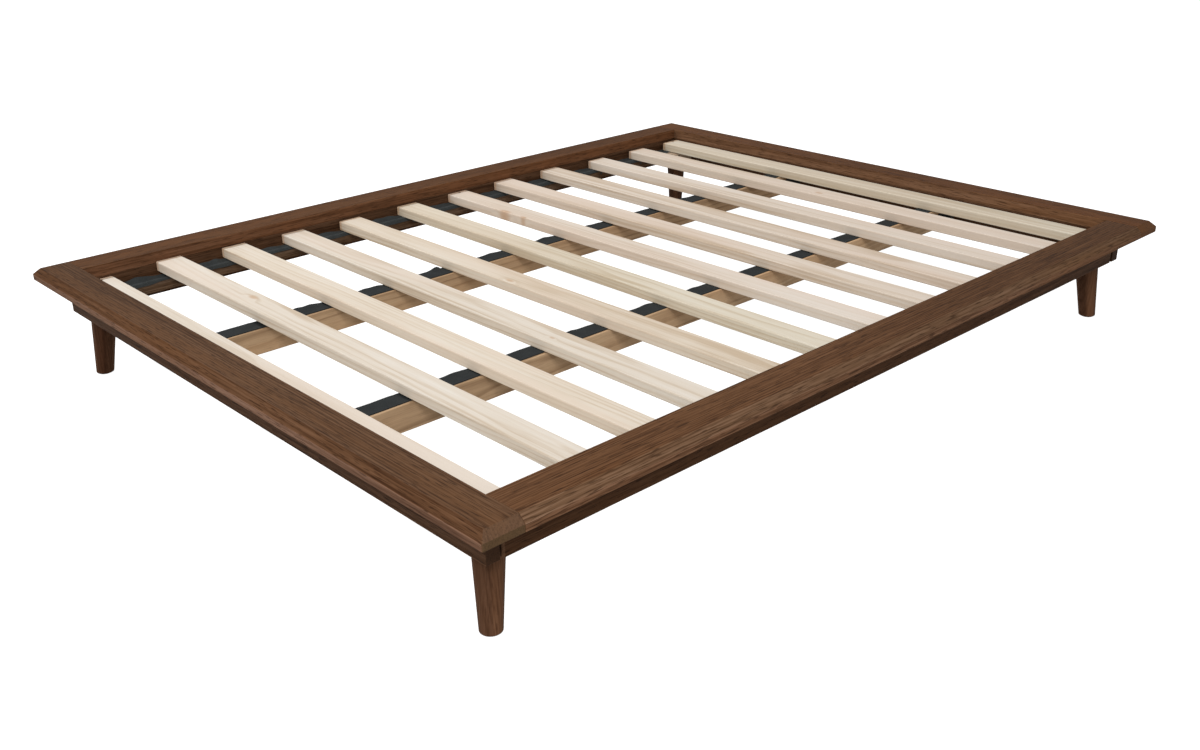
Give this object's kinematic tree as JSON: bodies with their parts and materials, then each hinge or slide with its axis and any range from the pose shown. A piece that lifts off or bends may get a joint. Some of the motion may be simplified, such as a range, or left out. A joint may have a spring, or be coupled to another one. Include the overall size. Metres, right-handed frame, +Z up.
{
  "type": "platform bed frame",
  "caption": "Low wooden platform bed frame: bevelled ledges round a mattress well, loose pale slats on felted cleats and centre beams, splayed tapered legs.",
  "frame": {"origin": "on the floor, under the middle of the bed", "axes": "+Z up, X across the bed along the slats, Y along the bed with the head end at +Y"},
  "size_m": [1.726, 2.214, 0.265],
  "materials": {
    "ledge_wood": "walnut, satin clear coat",
    "rail_wood": "walnut, satin clear coat",
    "leg_wood": "walnut, satin clear coat",
    "slat_wood": "planed softwood, bare",
    "beam_wood": "planed hardwood, bare",
    "dowel_wood": "bare beech",
    "felt": "pressed wool felt",
    "hanger_steel": "black satin paint",
    "screw_steel": "black phosphate",
    "insert_brass": "plain",
    "glide_plastic": "matte"
  },
  "bodies": {
    "frame": {"ledge_foot": "ledge_wood", "rail_foot": "rail_wood", "ledge_head": "ledge_wood", "rail_head": "rail_wood", "ledge_left": "ledge_wood", "rail_left": "rail_wood", "cleat_left": "rail_wood", "cleat_felt_left": "felt", "centre_beam_left": "beam_wood", "beam_felt_left": "felt", "ledge_right": "ledge_wood", "rail_right": "rail_wood", "cleat_right": "rail_wood", "cleat_felt_right": "felt", "centre_beam_right": "beam_wood", "beam_felt_right": "felt", "corner_block_foot_left": "beam_wood", "leg_foot_left": "leg_wood", "leg_glide_foot_left": "glide_plastic", "corner_block_foot_right": "beam_wood", "leg_foot_right": "leg_wood", "leg_glide_foot_right": "glide_plastic", "corner_block_head_left": "beam_wood", "leg_head_left": "leg_wood", "leg_glide_head_left": "glide_plastic", "corner_block_head_right": "beam_wood", "leg_head_right": "leg_wood", "leg_glide_head_right": "glide_plastic", "beam_hanger_foot_left": "hanger_steel", "beam_hanger_foot_right": "hanger_steel", "beam_hanger_head_left": "hanger_steel", "beam_hanger_head_right": "hanger_steel", "slat_01": "slat_wood", "slat_07": "slat_wood", "slat_12": "slat_wood", "leg_bolts": "screw_steel", "corner_bolts": "screw_steel", "cleat_screws": "screw_steel", "slat_screws": "screw_steel", "hanger_screws": "screw_steel", "leg_inserts": "insert_brass", "ledge_dowels": "dowel_wood", "ledge_seam_dowels": "dowel_wood"},
    "slat_02": {"slat_02": "slat_wood"},
    "slat_03": {"slat_03": "slat_wood"},
    "slat_04": {"slat_04": "slat_wood"},
    "slat_05": {"slat_05": "slat_wood"},
    "slat_06": {"slat_06": "slat_wood"},
    "slat_08": {"slat_08": "slat_wood"},
    "slat_09": {"slat_09": "slat_wood"},
    "slat_10": {"slat_10": "slat_wood"},
    "slat_11": {"slat_11": "slat_wood"}
  },
  "joints": [
    {"name": "slat_02_lift", "type": "slide", "parent": "frame", "child": "slat_02", "axis": [0, 0, 1], "range_m": [0, 0.12]},
    {"name": "slat_03_lift", "type": "slide", "parent": "frame", "child": "slat_03", "axis": [0, 0, 1], "range_m": [0, 0.12]},
    {"name": "slat_04_lift", "type": "slide", "parent": "frame", "child": "slat_04", "axis": [0, 0, 1], "range_m": [0, 0.12]},
    {"name": "slat_05_lift", "type": "slide", "parent": "frame", "child": "slat_05", "axis": [0, 0, 1], "range_m": [0, 0.12]},
    {"name": "slat_06_lift", "type": "slide", "parent": "frame", "child": "slat_06", "axis": [0, 0, 1], "range_m": [0, 0.12]},
    {"name": "slat_08_lift", "type": "slide", "parent": "frame", "child": "slat_08", "axis": [0, 0, 1], "range_m": [0, 0.12]},
    {"name": "slat_09_lift", "type": "slide", "parent": "frame", "child": "slat_09", "axis": [0, 0, 1], "range_m": [0, 0.12]},
    {"name": "slat_10_lift", "type": "slide", "parent": "frame", "child": "slat_10", "axis": [0, 0, 1], "range_m": [0, 0.12]},
    {"name": "slat_11_lift", "type": "slide", "parent": "frame", "child": "slat_11", "axis": [0, 0, 1], "range_m": [0, 0.12]}
  ]
}
